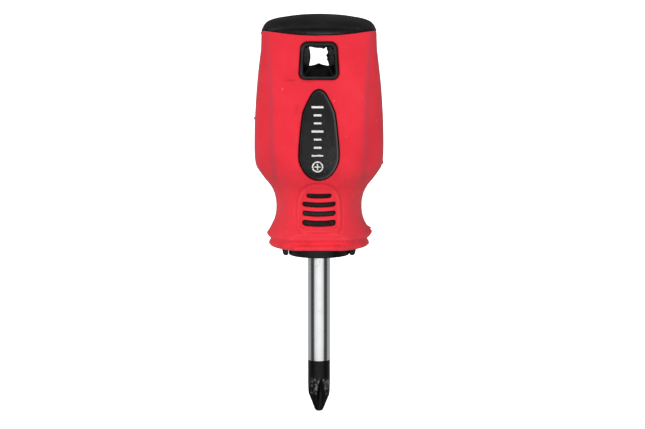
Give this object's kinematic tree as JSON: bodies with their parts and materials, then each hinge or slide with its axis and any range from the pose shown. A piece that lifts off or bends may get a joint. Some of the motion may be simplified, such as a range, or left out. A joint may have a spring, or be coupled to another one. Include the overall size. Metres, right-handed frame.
{
  "type": "stubby screwdriver",
  "caption": "Stubby cross-point screwdriver: plated blade with a black tip in a squarish red and black handle with a hanging hole.",
  "frame": {"origin": "the point of the driving tip, on the tool's axis", "axes": "+Z from the tip up the axis to the cap's crown, -Y the face with the printed label pad, +X to the right seen from that face"},
  "size_m": [0.0316, 0.0316, 0.0988],
  "materials": {
    "blade": "bright plated steel, with a black phosphated tip 12.9 mm long",
    "core": "satin black moulded plastic, fine texture",
    "grip": "soft matt red moulded grip",
    "cap": "satin black moulded plastic, lightly scuffed",
    "print": "thin white pad print"
  },
  "bodies": {
    "root": {"blade": "blade", "handle_core": "core", "grip_sleeve": "grip", "end_cap": "cap", "printed_mark": "print"}
  },
  "joints": []
}
